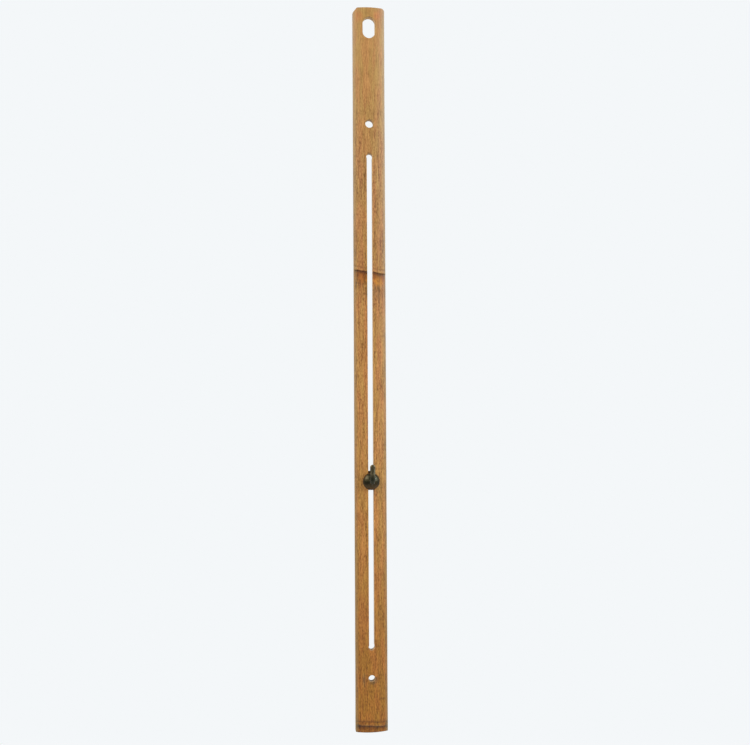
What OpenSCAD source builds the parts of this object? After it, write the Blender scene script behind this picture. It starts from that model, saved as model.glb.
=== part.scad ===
// Slotted bamboo rod with a hook that slides along its slot.
// The rod hangs on a wall pin. The hook's threaded shank runs through the slot into a
// runner behind the slat: one turn of the hook backs it off, and the fitting can then
// be moved up or down and clamped again at another height.
//
// Millimetres, +Z up. The front face looks along -Y and the planed back lies on Y = 0.
// The origin is the middle of the hanging hole, on the plane of the back.

/* [Slat] */
// Length of the bamboo slat
slat_length = 720; // [600:5:900]
// Width of the slat
slat_width = 32; // [29:0.5:36]
// Outer radius of the culm that the slat was split from
culm_radius = 40; // [36:1:55]
// Thickness of the culm wall
culm_wall = 7; // [6.5:0.25:9]
// Depth of the hollow that is left behind the slat once its back is planed
hollow_depth = 2.6; // [2.4:0.1:3]
// Width of the sloping cut at the top left corner
left_corner_width = 4; // [2:0.5:6]
// Height of the sloping cut at the top left corner
left_corner_height = 4.5; // [2:0.5:8]
// Radius of the top right corner
right_corner_radius = 3.5; // [2:0.5:6]

/* [Culm nodes] */
// Distance of the sheath scar below the hanging hole
node_drop = 242.5; // [160:0.5:400]
// Height of the foot's sheath scar above the foot
foot_node_rise = 6.5; // [5:0.5:12]
// Height of the shallow band below a sheath scar
node_band = 14; // [8:0.5:20]
// Depth of the step at a sheath scar
node_step = 0.5; // [0.2:0.05:0.8]
// Slope of the upper sheath scar across the slat
node_slope = 7.5; // [0:0.5:10]
// Slope of the foot's sheath scar across the slat
foot_node_slope = 3; // [0:0.5:5]
// Thickness of the culm's cross walls, left in the hollow at each node
cross_wall = 3.5; // [2:0.5:5]
// Distance of the upper cross wall below its sheath scar
cross_wall_drop = 9; // [4:0.5:14]

/* [Holes and slot] */
// Distance of the hanging hole's middle from the top
top_margin = 20; // [17:0.5:30]
// Width of the hanging hole
hang_width = 12.5; // [8:0.5:16]
// Height of the hanging hole
hang_height = 21; // [18:0.5:28]
// Diameter of the upper fixing hole
upper_fixing_diameter = 8; // [4:0.1:10]
// Diameter of the lower fixing hole
lower_fixing_diameter = 6.7; // [4:0.1:10]
// Distance of the upper fixing hole below the hanging hole
upper_fixing_drop = 95.5; // [60:0.5:110]
// Height of the lower fixing hole above the foot
lower_fixing_rise = 53.5; // [30:0.5:65]
// Width of the sawn slot
slot_width = 5.5; // [5:0.1:7]
// Diameter of the holes drilled at the slot's ends
slot_end_diameter = 6.4; // [5.2:0.1:8]
// Distance of the slot's top below the hanging hole
slot_top_drop = 125; // [120:0.5:145]
// Height of the slot's bottom above the foot
slot_bottom_rise = 81.5; // [75:0.5:120]

/* [Runner and plate] */
// Height of the hook above the slot's bottom
hook_rise = 168; // [20:0.5:330]
// Length of the runner in the slot
runner_length = 15; // [14:0.5:18]
// Distance of the runner's front below the crown of the slat
runner_inset = 1.4; // [0.6:0.1:3]
// Width of the plate behind the slat
plate_width = 14; // [11:0.5:16]
// Length of the plate behind the slat
plate_length = 19; // [19:0.5:26]
// Corner radius of the plate
plate_corner = 2; // [1:0.5:4]
// Depth to which the runner is let into the plate
runner_seat = 0.15; // [0.1:0.01:0.2]
// Diameter of the rivets that hold the runner to the plate
rivet_diameter = 1.6; // [1.2:0.1:1.8]
// Diameter of the rivets' countersunk heads
rivet_head_diameter = 2.6; // [2:0.1:2.8]
// Distance of each rivet from the hook's shank
rivet_offset = 5.2; // [5:0.1:5.4]

/* [Hook] */
// Diameter of the threaded shank
shank_diameter = 3.5; // [3:0.1:3.6]
// Diameter of the hook's bar
bar_diameter = 4.9; // [4:0.1:5]
// Radius of the bar's bend, on its centre line
bend_radius = 4.2; // [3:0.1:6]
// Distance of the upright in front of the boss
upright_reach = 8.8; // [7:0.1:12]
// Height of the hook's tip above the shank's axis
tip_height = 18; // [14:0.5:24]
// Width of the flattened tip
tip_width = 5.3; // [5:0.1:6.5]
// Thickness of the flattened tip
tip_thickness = 2.6; // [1.6:0.1:3.6]
// Outer diameter of the ring that keeps the shank in the plate
ring_diameter = 6; // [5.2:0.1:6.6]
// Thickness of that ring
ring_thickness = 0.5; // [0.3:0.05:0.6]
// Height of the riveted end of the shank
peen_height = 0.2; // [0.1:0.05:0.3]
// Width by which the riveted end laps over the ring
peen_lap = 0.5; // [0.3:0.05:0.7]
// Thread pitch, which is how far one turn backs the hook off
thread_pitch = 0.6; // [0.4:0.05:0.65]

/* [Boss and washer] */
// Diameter of the domed boss
boss_diameter = 17; // [16:0.5:20]
// Height of the domed boss
boss_height = 5.8; // [4.8:0.1:8]
// Height of the boss's straight rim
boss_rim = 1.1; // [0.8:0.1:1.6]
// Thickness of the boss's wall between the bar and the washer
boss_seat = 1.3; // [1:0.1:2]
// Diameter of the leather washer
washer_diameter = 14; // [10:0.5:14.5]
// Thickness of the leather washer at its middle
washer_thickness = 1; // [0.6:0.1:2]
// Depth of the recess behind the boss that holds the washer
washer_recess = 0.4; // [0.2:0.05:0.5]

/* [Clearances] */
// Gap between the slat and what slides on it
slide_gap = 0.15; // [0.12:0.01:0.25]
// Gap on each side of the runner in the slot
slot_gap = 0.2; // [0.1:0.05:0.3]
// Gap between the plate's back and the wall plane
wall_gap = 0.2; // [0.1:0.05:0.3]
// Distance of the shank's end inside the plate's back
shank_inset = 0.05; // [0:0.01:0.1]
// Radial gap of a turning fit
turning_gap = 0.05; // [0.02:0.01:0.08]
// Radial gap of a fixed fit
fixed_gap = 0.02; // [0.01:0.01:0.04]
// Gap between the ring and the plate once the hook is backed off by one turn
ring_gap = 0.1; // [0.05:0.01:0.15]
// Gap around the ring in the plate's recess
ring_side_gap = 0.3; // [0.1:0.05:0.4]
// Gap between the washer and the recess around it
washer_gap = 0.2; // [0.1:0.05:0.4]
// Gap between the washer and the floor of the recess
face_gap = 0.05; // [0.02:0.01:0.1]
// Radial gap between the washer's hole and the shank
washer_hole_gap = 0.25; // [0.1:0.05:0.5]
// Gap on each side of the plate where it passes a cross wall
cross_wall_gap = 0.6; // [0.3:0.1:1]

/* [Hidden] */

$fn = 96;
culm_facets = 180;
cut = 1; // how far a cutting shape runs past the face it opens
groove_fade = 0.05; // how far a scar's band fades out past the culm's surface

// Heights, measured from the hanging hole
top_z = top_margin;
foot_z = top_margin - slat_length;
node_z = -node_drop;
foot_node_z = foot_z + foot_node_rise;
cross_wall_z = node_z - cross_wall_drop;
slot_top_z = -slot_top_drop;
slot_bottom_z = foot_z + slot_bottom_rise;
upper_fixing_z = -upper_fixing_drop;
lower_fixing_z = foot_z + lower_fixing_rise;
hook_z = slot_bottom_z + hook_rise;

// The culm: its axis stands behind the slat
slat_depth = culm_wall + hollow_depth;
crown_y = -slat_depth;
culm_axis_y = culm_radius - slat_depth;
hollow_radius = culm_radius - culm_wall;

// The runner and its plate
runner_width = slot_width - 2 * slot_gap;
runner_front_y = crown_y + runner_inset;
plate_front_radius = hollow_radius - slide_gap;
plate_front_y = culm_axis_y - plate_front_radius;
plate_seat_y = plate_front_y + runner_seat;
plate_back_y = -wall_gap;
plate_way = plate_width + 2 * cross_wall_gap;
nut_radius = shank_diameter / 2 + turning_gap;
rivet_head_height = (rivet_head_diameter - rivet_diameter) / 2;

// The shank's end, in the recess behind the plate
shank_end_y = plate_back_y - shank_inset;
ring_back_y = shank_end_y - peen_height;
ring_front_y = ring_back_y - ring_thickness;
ring_recess_y = ring_front_y - thread_pitch - ring_gap;
ring_recess_radius = ring_diameter / 2 + ring_side_gap;
peen_radius = shank_diameter / 2 + peen_lap;

// The washer and the boss in front of the slat
washer_radius = washer_diameter / 2;
washer_face_radius = culm_radius + slide_gap;
washer_front_y = crown_y - slide_gap - washer_thickness;
washer_edge_y = culm_axis_y - sqrt(pow(washer_face_radius, 2) - pow(washer_radius, 2));
recess_floor_y = washer_front_y - face_gap;
boss_back_y = recess_floor_y + washer_recess;
boss_front_y = boss_back_y - boss_height;
rim_front_y = boss_back_y - boss_rim;
cap_height = boss_height - boss_rim;
cap_radius = (pow(boss_diameter / 2, 2) + pow(cap_height, 2)) / (2 * cap_height);
shoulder_y = recess_floor_y - boss_seat;

// The hook's upright
upright_y = boss_front_y - upright_reach;
bend_start_y = upright_y + bend_radius;

// A cylinder along +Y from y0 to y1, on the axis of the shank
module along_y(y0, y1, r) {
    translate([0, y0, 0])
        rotate([-90, 0, 0])
            cylinder(h = y1 - y0, r = r);
}

// A cone along +Y from radius r0 at y0 to radius r1 at y1
module cone_along_y(y0, y1, r0, r1) {
    translate([0, y0, 0])
        rotate([-90, 0, 0])
            cylinder(h = y1 - y0, r1 = r0, r2 = r1);
}

// A flat shape drawn in X and Z, thickened from y0 to y1
module plate_along_y(y0, y1) {
    translate([0, y1, 0])
        rotate([90, 0, 0])
            linear_extrude(height = y1 - y0)
                children();
}

// A cylinder on the axis of the culm, from z0 to z1
module along_culm(z0, z1, r) {
    translate([0, culm_axis_y, z0])
        cylinder(h = z1 - z0, r = r, $fn = culm_facets);
}

// An upright shape with straight sides and round ends
module stadium(width, height) {
    straight = height - width;
    square([width, straight], center = true);
    for (side = [-1, 1])
        translate([0, side * straight / 2])
            circle(d = width);
}

// A rectangle with round corners
module rounded_rectangle(width, height, radius) {
    square([width - 2 * radius, height], center = true);
    square([width, height - 2 * radius], center = true);
    for (x = [-1, 1], z = [-1, 1])
        translate([x * (width / 2 - radius), z * (height / 2 - radius)])
            circle(r = radius);
}

// The slat's outline: square at the foot, one top corner cut and the other rounded
module slat_outline() {
    half = slat_width / 2;
    polygon([
        [-half, foot_z],
        [half, foot_z],
        [half, top_z - right_corner_radius],
        [half - right_corner_radius, top_z],
        [-half + left_corner_width, top_z],
        [-half, top_z - left_corner_height],
    ]);
    translate([half - right_corner_radius, top_z - right_corner_radius])
        circle(r = right_corner_radius);
}

// The slot: a sawn slit between two drilled holes
module slot_outline() {
    end_radius = slot_end_diameter / 2;
    lower_end_z = slot_bottom_z + end_radius;
    upper_end_z = slot_top_z - end_radius;
    translate([-slot_width / 2, lower_end_z])
        square([slot_width, upper_end_z - lower_end_z]);
    for (z = [lower_end_z, upper_end_z])
        translate([0, z])
            circle(r = end_radius);
}

// The openings that go right through the slat
module slat_openings() {
    stadium(hang_width, hang_height);
    translate([0, upper_fixing_z])
        circle(d = upper_fixing_diameter);
    translate([0, lower_fixing_z])
        circle(d = lower_fixing_diameter);
    slot_outline();
}

// What is missing below a sheath scar: deepest at the scar, fading out downwards
module scar_groove(z, slope) {
    outside = culm_radius + cut;
    translate([0, culm_axis_y, z])
        rotate([0, slope, 0])
            rotate_extrude($fn = culm_facets)
                polygon([
                    [culm_radius - node_step, 0],
                    [outside, 0],
                    [outside, -node_band],
                    [culm_radius + groove_fade, -node_band],
                ]);
}

// The culm's hollow, with a cross wall left at each node and a way for the plate
module culm_hollow() {
    along_culm(foot_z + cross_wall, cross_wall_z - cross_wall, hollow_radius);
    along_culm(cross_wall_z, top_z + cut, hollow_radius);
    intersection() {
        along_culm(foot_z + cross_wall, top_z, hollow_radius);
        translate([-plate_way / 2, crown_y, foot_z + cross_wall])
            cube([plate_way, slat_depth + cut, slat_length - cross_wall]);
    }
}

module bamboo_slat() {
    color("peru")
        difference() {
            intersection() {
                plate_along_y(crown_y - cut, 0)
                    slat_outline();
                along_culm(foot_z - cut, top_z + cut, culm_radius);
            }
            culm_hollow();
            plate_along_y(crown_y - cut, cut)
                slat_openings();
            scar_groove(node_z, node_slope);
            scar_groove(foot_node_z, foot_node_slope);
        }
}

// The block that fills the slot and carries the nut's thread
module runner_nut() {
    color("dimgray")
        translate([0, 0, hook_z])
            difference() {
                plate_along_y(runner_front_y, plate_seat_y)
                    stadium(runner_width, runner_length);
                along_y(runner_front_y - cut, plate_seat_y + cut, nut_radius);
                rivet_pair(fixed_gap);
            }
}

// The plate in the hollow, curved in front to lie against the culm's inner wall
module rear_plate() {
    color("gray")
        translate([0, 0, hook_z])
            difference() {
                intersection() {
                    plate_along_y(plate_front_y - cut, plate_back_y)
                        rounded_rectangle(plate_width, plate_length, plate_corner);
                    along_culm(-plate_length, plate_length, plate_front_radius);
                }
                plate_along_y(plate_front_y - cut, plate_seat_y)
                    stadium(runner_width + 2 * fixed_gap, runner_length + 2 * fixed_gap);
                along_y(plate_front_y - cut, plate_back_y + cut, nut_radius);
                along_y(ring_recess_y, plate_back_y + cut, ring_recess_radius);
                rivet_pair(fixed_gap);
            }
}

// The two rivets, countersunk at both ends, or with a gap the holes that they fill
module rivet_pair(gap) {
    rivet_radius = rivet_diameter / 2 + gap;
    head_radius = rivet_head_diameter / 2 + gap;
    for (side = [-1, 1])
        translate([0, 0, side * rivet_offset]) {
            along_y(runner_front_y, plate_back_y, rivet_radius);
            cone_along_y(runner_front_y, runner_front_y + rivet_head_height, head_radius, rivet_radius);
            cone_along_y(plate_back_y - rivet_head_height, plate_back_y, rivet_radius, head_radius);
        }
}

module plate_rivets() {
    color("darkgray")
        translate([0, 0, hook_z])
            rivet_pair(0);
}

// Flat in front, and hollowed behind to fit the slat's round face
module leather_washer() {
    color("saddlebrown")
        translate([0, 0, hook_z])
            difference() {
                along_y(washer_front_y, washer_edge_y + cut, washer_radius);
                along_culm(-washer_diameter, washer_diameter, washer_face_radius);
                along_y(washer_front_y - cut, washer_edge_y + cut, shank_diameter / 2 + washer_hole_gap);
            }
}

// The low dome under the hook, drilled in two steps for the bar and the shank
module domed_boss() {
    color("darkslategray")
        translate([0, 0, hook_z])
            difference() {
                union() {
                    along_y(rim_front_y, boss_back_y, boss_diameter / 2);
                    intersection() {
                        translate([0, boss_front_y + cap_radius, 0])
                            rotate([90, 0, 0])
                                sphere(r = cap_radius);
                        along_y(boss_front_y - cut, rim_front_y, boss_diameter / 2);
                    }
                }
                along_y(recess_floor_y, boss_back_y + cut, washer_radius + washer_gap);
                along_y(boss_front_y - cut, shoulder_y, bar_diameter / 2 + fixed_gap);
                along_y(shoulder_y - cut, boss_back_y + cut, shank_diameter / 2 + fixed_gap);
            }
}

// The quarter bend that turns the bar from the arm into the upright
module hook_bend() {
    translate([0, bend_start_y, bend_radius])
        rotate([0, 90, 0])
            rotate([0, 0, -90])
                rotate_extrude(angle = 90)
                    translate([bend_radius, 0])
                        circle(d = bar_diameter);
}

// The upright, round where it leaves the bend and flattened towards its rounded tip
module hook_upright() {
    hull() {
        translate([0, upright_y, bend_radius])
            cylinder(h = 0.01, d = bar_diameter, $fn = 32);
        translate([0, upright_y, tip_height - tip_width / 2])
            rotate([90, 0, 0])
                cylinder(h = tip_thickness, d = tip_width, center = true, $fn = 32);
    }
}

module hook() {
    color("darkslategray")
        translate([0, 0, hook_z]) {
            along_y(bend_start_y, shoulder_y, bar_diameter / 2);
            along_y(shoulder_y, shank_end_y, shank_diameter / 2);
            along_y(ring_back_y, shank_end_y, peen_radius);
            hook_bend();
            hook_upright();
        }
}

// The ring held on the shank by its riveted end
module retaining_ring() {
    color("gray")
        translate([0, 0, hook_z])
            difference() {
                along_y(ring_front_y, ring_back_y, ring_diameter / 2);
                along_y(ring_front_y - cut, ring_back_y + cut, shank_diameter / 2 + turning_gap);
            }
}

bamboo_slat();
runner_nut();
rear_plate();
plate_rivets();
leather_washer();
domed_boss();
hook();
retaining_ring();
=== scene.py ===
"""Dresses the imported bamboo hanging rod: a slotted slat of split bamboo and its sliding iron hook.

Lengths are metres in the part's own frame: +Z up, the round front face towards -Y, the planed
back on Y = 0, and the origin in the middle of the hanging hole.
"""

import logging
import math
from collections.abc import Callable
from dataclasses import dataclass, field
from enum import Enum
from functools import partial

import bmesh
import bpy
import numpy as np
from bmesh.types import BMesh, BMVert
from bpy.types import Material, Mesh, Node, NodeSocket, NodeTree, Object
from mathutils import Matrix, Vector, noise


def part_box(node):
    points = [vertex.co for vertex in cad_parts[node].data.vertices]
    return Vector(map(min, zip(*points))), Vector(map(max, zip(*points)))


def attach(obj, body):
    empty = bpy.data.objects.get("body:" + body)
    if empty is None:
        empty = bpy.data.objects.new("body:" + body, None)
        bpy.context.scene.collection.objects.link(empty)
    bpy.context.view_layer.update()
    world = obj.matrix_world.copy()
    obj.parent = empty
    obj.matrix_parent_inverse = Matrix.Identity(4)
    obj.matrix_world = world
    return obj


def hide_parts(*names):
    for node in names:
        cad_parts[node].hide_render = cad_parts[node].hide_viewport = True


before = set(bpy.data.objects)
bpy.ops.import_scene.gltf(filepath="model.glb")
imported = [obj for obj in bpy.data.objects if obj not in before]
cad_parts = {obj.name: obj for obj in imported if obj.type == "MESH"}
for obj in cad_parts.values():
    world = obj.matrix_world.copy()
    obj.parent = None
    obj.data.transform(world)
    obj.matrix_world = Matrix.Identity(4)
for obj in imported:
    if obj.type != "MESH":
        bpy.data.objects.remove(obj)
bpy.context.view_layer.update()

log = logging.getLogger("hanging_rod")

MM = 0.001
SAME_POINT = 0.0001 * MM

Colour = tuple[float, float, float, float]
Stops = list[tuple[float, Colour]]
Outline = list[tuple[float, float]]


def srgb(red: int, green: int, blue: int) -> Colour:
    """Turns a colour of 0 to 255 into the linear values that shaders take.

    Args:
        red: Red, 0 to 255.
        green: Green, 0 to 255.
        blue: Blue, 0 to 255.

    Returns:
        Linear red, green, blue and a full alpha.
    """
    def linear(channel: int) -> float:
        """Undoes the screen's curve for one channel."""
        share = channel / 255
        return share / 12.92 if share <= 0.04045 else ((share + 0.055) / 1.055) ** 2.4

    return (linear(red), linear(green), linear(blue), 1.0)


def stops(*rows: tuple[float, ...]) -> Stops:
    """Makes the stops of a ramp.

    Args:
        *rows: Each stop's number, red, green and blue, and its cover from 0 to 1 where it isn't full.

    Returns:
        Each stop's number, with its colour and cover.
    """
    return [(number, (*srgb(*colour[:3])[:3], *(colour[3:] or [1.0]))) for number, *colour in rows]


class Blend(Enum):
    """Ways of laying one colour over another."""

    MIX = "MIX"
    MULTIPLY = "MULTIPLY"


class Wire:
    """An output inside a node tree; sums and products with it add the nodes that work them out."""

    def __init__(self, tree: "Tree", socket: NodeSocket) -> None:
        """Keeps the output and the tree that it belongs to."""
        self.tree = tree
        self.socket = socket

    def __add__(self, other: "Value") -> "Wire":
        """Returns the sum of both."""
        return self.tree.math("ADD", self, other)

    def __sub__(self, other: "Value") -> "Wire":
        """Returns this less the other."""
        return self.tree.math("SUBTRACT", self, other)

    def __rsub__(self, other: "Value") -> "Wire":
        """Returns the other less this."""
        return self.tree.math("SUBTRACT", other, self)

    def __mul__(self, other: "Value") -> "Wire":
        """Returns the product of both."""
        return self.tree.math("MULTIPLY", self, other)

    def __truediv__(self, other: "Value") -> "Wire":
        """Returns this divided by the other."""
        return self.tree.math("DIVIDE", self, other)

    def __abs__(self) -> "Wire":
        """Returns its size without its sign."""
        return self.tree.math("ABSOLUTE", self)

    __radd__ = __add__

    def step(self, low: float, high: float) -> "Wire":
        """Returns 0 at low, 1 at high and an even swing between them; low may be the larger."""
        return self.tree.out("ShaderNodeMapRange", {0: self, 1: low, 2: high},
                             interpolation_type="SMOOTHSTEP")


Value = Wire | float | tuple[float, ...]


class Tree:
    """Short calls that build a node tree, for a material, the sky or a geometry modifier."""

    def __init__(self, tree: NodeTree) -> None:
        """Keeps the tree that the calls add to."""
        self.tree = tree

    def put(self, socket: NodeSocket, value: Value) -> None:
        """Links a wire into an input, or sets the input's own value.

        Args:
            socket: The input.
            value: What it takes.
        """
        if isinstance(value, Wire):
            self.tree.links.new(value.socket, socket)
        else:
            socket.default_value = value

    def node(self, kind: str, inputs: dict[str | int, Value] | None = None,
             **settings: object) -> Node:
        """Adds a node.

        Args:
            kind: The node's type.
            inputs: Values or wires for its inputs, by name or place.
            **settings: Properties set on the node before its inputs.

        Returns:
            The new node.
        """
        made = self.tree.nodes.new(kind)
        for name, setting in settings.items():
            setattr(made, name, setting)
        for name, value in (inputs or {}).items():
            self.put(made.inputs[name], value)
        return made

    def out(self, kind: str, inputs: dict[str | int, Value] | None = None, output: str | int = 0,
            **settings: object) -> Wire:
        """Adds a node, as node does, and returns one of its outputs, by name or place."""
        return Wire(self, self.node(kind, inputs, **settings).outputs[output])

    def math(self, operation: str, a: Value, b: Value = 0.0) -> Wire:
        """Returns a function of one or two numbers."""
        return self.out("ShaderNodeMath", {0: a, 1: b}, operation=operation)

    def split(self, vector: Value) -> tuple[Wire, ...]:
        """Returns a vector's X, Y and Z."""
        parts = self.node("ShaderNodeSeparateXYZ", {0: vector})
        return tuple(Wire(self, socket) for socket in parts.outputs)

    def join(self, x: Value, y: Value, z: Value) -> Wire:
        """Returns the vector of three numbers."""
        return self.out("ShaderNodeCombineXYZ", {0: x, 1: y, 2: z})

    def noise(self, vector: Value, scale: float = 1.0, detail: float = 2.0) -> Wire:
        """Returns soft noise from 0 to 1 at a point."""
        return self.out("ShaderNodeTexNoise", {"Vector": vector, "Scale": scale, "Detail": detail})

    def cells(self, vector: Value, scale: float, dimensions: str = "3D") -> Wire:
        """Returns how far a point lies from the middle of its cell, in a pattern of loose cells."""
        return self.out("ShaderNodeTexVoronoi", {"Vector": vector, "Scale": scale}, "Distance",
                        voronoi_dimensions=dimensions)

    def ramp(self, value: Value, marks: Stops) -> tuple[Wire, Wire]:
        """Runs a number through a row of colours.

        Args:
            value: The number.
            marks: Each stop's number, in rising order, and its colour and cover.

        Returns:
            The colour and the cover at the number.
        """
        low, high = marks[0][0], marks[-1][0]
        share = self.out("ShaderNodeMapRange", {0: value, 1: low, 2: high})
        made = self.node("ShaderNodeValToRGB", {0: share})
        row = made.color_ramp.elements
        row[0].color, row[1].color = marks[0][1], marks[-1][1]
        for number, colour in marks[1:-1]:
            row.new((number - low) / (high - low)).color = colour
        return Wire(self, made.outputs["Color"]), Wire(self, made.outputs["Alpha"])

    def mix(self, share: Value, a: Value, b: Value, blend: Blend = Blend.MIX) -> Wire:
        """Returns colour b laid over colour a by a share from 0 to 1."""
        # The node's colours are its inputs 6 and 7 and its output 2.
        return self.out("ShaderNodeMix", {0: share, 6: a, 7: b}, 2, data_type="RGBA",
                        blend_type=blend.value)


class Surface(Tree):
    """The node tree of one material, with its shader."""

    def __init__(self, name: str, shader: dict[str, float]) -> None:
        """Makes a material.

        Args:
            name: The material's name.
            shader: Even values of its shader, by the inputs' names.
        """
        self.material = bpy.data.materials.new(name)
        self.material.use_nodes = True
        super().__init__(self.material.node_tree)
        self.shader = self.tree.nodes["Principled BSDF"]
        for key, value in shader.items():
            self.put(self.shader.inputs[key], value)
        places = self.node("ShaderNodeTexCoord")
        self.place = Wire(self, places.outputs["Object"])
        self.normal = Wire(self, places.outputs["Normal"])

    def millimetres(self) -> Wire:
        """Returns the point on the piece in millimetres."""
        return self.out("ShaderNodeVectorMath", {0: self.place, 3: 1 / MM}, operation="SCALE")

    def finish(self, colour: Value, roughness: Value, height: Value, relief: float) -> Material:
        """Joins the patterns to the shader.

        Args:
            colour: The surface's colour.
            roughness: Its roughness.
            height: The relief's height from 0 to 1.
            relief: The relief's depth in metres.

        Returns:
            The finished material.
        """
        bump = self.out("ShaderNodeBump", {"Height": height, "Distance": relief, "Strength": 1.0})
        for key, value in (("Base Color", colour), ("Roughness", roughness), ("Normal", bump)):
            self.put(self.shader.inputs[key], value)
        return self.material


# ---------------------------------------------------------------------------------------------
# Meshes


def new_piece(name: str, mesh: Mesh, material: Material, sharp_angle: float) -> Object:
    """Puts a finished mesh into the scene as a piece at the origin.

    Args:
        name: The piece's name.
        mesh: Its mesh, with its place in it.
        material: The finish of all its faces.
        sharp_angle: Edges that bend by more than this, in degrees, stay sharp.

    Returns:
        The new object.
    """
    mesh.name = name
    mesh.materials.clear()
    mesh.materials.append(material)
    mesh.polygons.foreach_set("material_index", [0] * len(mesh.polygons))
    mesh.polygons.foreach_set("use_smooth", [True] * len(mesh.polygons))
    mesh.set_sharp_from_angle(angle=math.radians(sharp_angle))
    mesh.update()
    piece = bpy.data.objects.new(name, mesh)
    bpy.context.scene.collection.objects.link(piece)
    log.info("%s: %d faces", name, len(mesh.polygons))
    return piece


def add_rings(made: BMesh, rings: np.ndarray | list, closed: bool = True,
              round_trip: bool = False) -> list[list[BMVert]]:
    """Adds rings of points, each joined to the next with four-sided faces.

    Args:
        made: The working mesh.
        rings: Rings with the same number of points.
        closed: Whether each ring's last point joins its first.
        round_trip: Whether the last ring joins the first.

    Returns:
        The new points, ring by ring.
    """
    points = [[made.verts.new(point) for point in ring] for ring in rings]
    order = points + points[:1] if round_trip else points
    for here, there in zip(order, order[1:]):
        for j in range(len(here) if closed else len(here) - 1):
            k = (j + 1) % len(here)
            made.faces.new((here[j], here[k], there[k], there[j]))
    return points


def turned_mesh(rings: np.ndarray, closed: bool = True) -> Mesh:
    """Joins rings that stand round an axis into one skin.

    Args:
        rings: Points by ring and place, one ring for each step round the axis.
        closed: Whether each ring's last point joins its first.

    Returns:
        The mesh, with its faces pointing outwards.
    """
    made = bmesh.new()
    add_rings(made, rings, closed, round_trip=True)
    return settled(made)


def settled(made: BMesh) -> Mesh:
    """Merges doubled points, turns the faces outwards and frees the working mesh.

    Args:
        made: The working mesh.

    Returns:
        The plain mesh.
    """
    bmesh.ops.remove_doubles(made, verts=made.verts, dist=SAME_POINT)
    bmesh.ops.recalc_face_normals(made, faces=made.faces)
    mesh = bpy.data.meshes.new("mesh")
    made.to_mesh(mesh)
    made.free()
    return mesh


def evaluated_mesh(piece: Object) -> Mesh:
    """Applies an object's modifiers.

    Args:
        piece: The object.

    Returns:
        A plain copy of the finished mesh.
    """
    graph = bpy.context.evaluated_depsgraph_get()
    graph.update()
    return bpy.data.meshes.new_from_object(piece.evaluated_get(graph))


def helper(mesh: Mesh, name: str) -> Object:
    """Links a mesh into the scene for as long as a modifier needs it.

    Args:
        mesh: The mesh.
        name: The helper's name.

    Returns:
        The helper, for drop.
    """
    made = bpy.data.objects.new(name, mesh)
    bpy.context.scene.collection.objects.link(made)
    return made


def drop(piece: Object) -> None:
    """Takes a helper object out of the scene."""
    bpy.data.objects.remove(piece, do_unlink=True)


def turned(profile: Outline, centre_z: float, sides: int) -> np.ndarray:
    """Turns an outline round the hook's axis.

    Args:
        profile: Radius and Y of each point of the outline.
        centre_z: Height of the axis.
        sides: Number of steps round the axis.

    Returns:
        Rings of points, one for each step, for turned_mesh.
    """
    angles = np.arange(sides) * 2 * math.pi / sides
    radius, along = np.array(profile).T
    x = np.outer(np.cos(angles), radius)
    z = np.outer(np.sin(angles), radius) + centre_z
    y = np.broadcast_to(along, x.shape)
    return np.stack((x, y, z), axis=-1)


def arc(centre: tuple[float, float], radius: float, start: float, stop: float, steps: int) -> Outline:
    """Returns points along an arc, with its angles in degrees."""
    angles = np.radians(np.linspace(start, stop, steps + 1))
    return [(centre[0] + radius * math.cos(a), centre[1] + radius * math.sin(a)) for a in angles]


class GeometryTree(Tree):
    """A Geometry Nodes tree with named inputs, run once on an object."""

    def __init__(self, name: str) -> None:
        """Makes a tree with a geometry input and output.

        Args:
            name: The tree's name.
        """
        super().__init__(bpy.data.node_groups.new(name, "GeometryNodeTree"))
        for side in ("INPUT", "OUTPUT"):
            self.tree.interface.new_socket("Geometry", in_out=side, socket_type="NodeSocketGeometry")
        self.entry = self.node("NodeGroupInput")
        self.values: dict[str, object] = {}

    def base(self) -> Wire:
        """Returns the shape of the object that the tree runs on."""
        return Wire(self, self.entry.outputs[0])

    def size(self, name: str, value: float | int | Material) -> Wire:
        """Adds a named input and remembers its value.

        Args:
            name: The input's name.
            value: What the modifier sets it to.

        Returns:
            The input, inside the tree.
        """
        kinds = {int: "NodeSocketInt", float: "NodeSocketFloat"}
        kind = kinds.get(type(value), "NodeSocketMaterial")
        self.tree.interface.new_socket(name, in_out="INPUT", socket_type=kind)
        self.values[name] = value
        return Wire(self, self.entry.outputs[name])

    def run(self, geometry: Wire, material: Wire, base: Object) -> Mesh:
        """Ends the tree, runs it on an object and returns the plain mesh.

        Args:
            geometry: The finished shape.
            material: The material input.
            base: The object that the modifier is put on; it is dropped afterwards.

        Returns:
            The plain mesh.
        """
        real = self.out("GeometryNodeRealizeInstances", {"Geometry": geometry})
        dressed = self.out("GeometryNodeSetMaterial", {"Geometry": real, "Material": material})
        self.node("NodeGroupOutput", {0: dressed})
        modifier = base.modifiers.new("shape", "NODES")
        modifier.node_group = self.tree
        for item in self.tree.interface.items_tree:
            if item.in_out == "INPUT" and item.name in self.values:
                modifier[item.identifier] = self.values[item.name]
        mesh = evaluated_mesh(base)
        drop(base)
        return mesh


# ---------------------------------------------------------------------------------------------
# Bamboo


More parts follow.
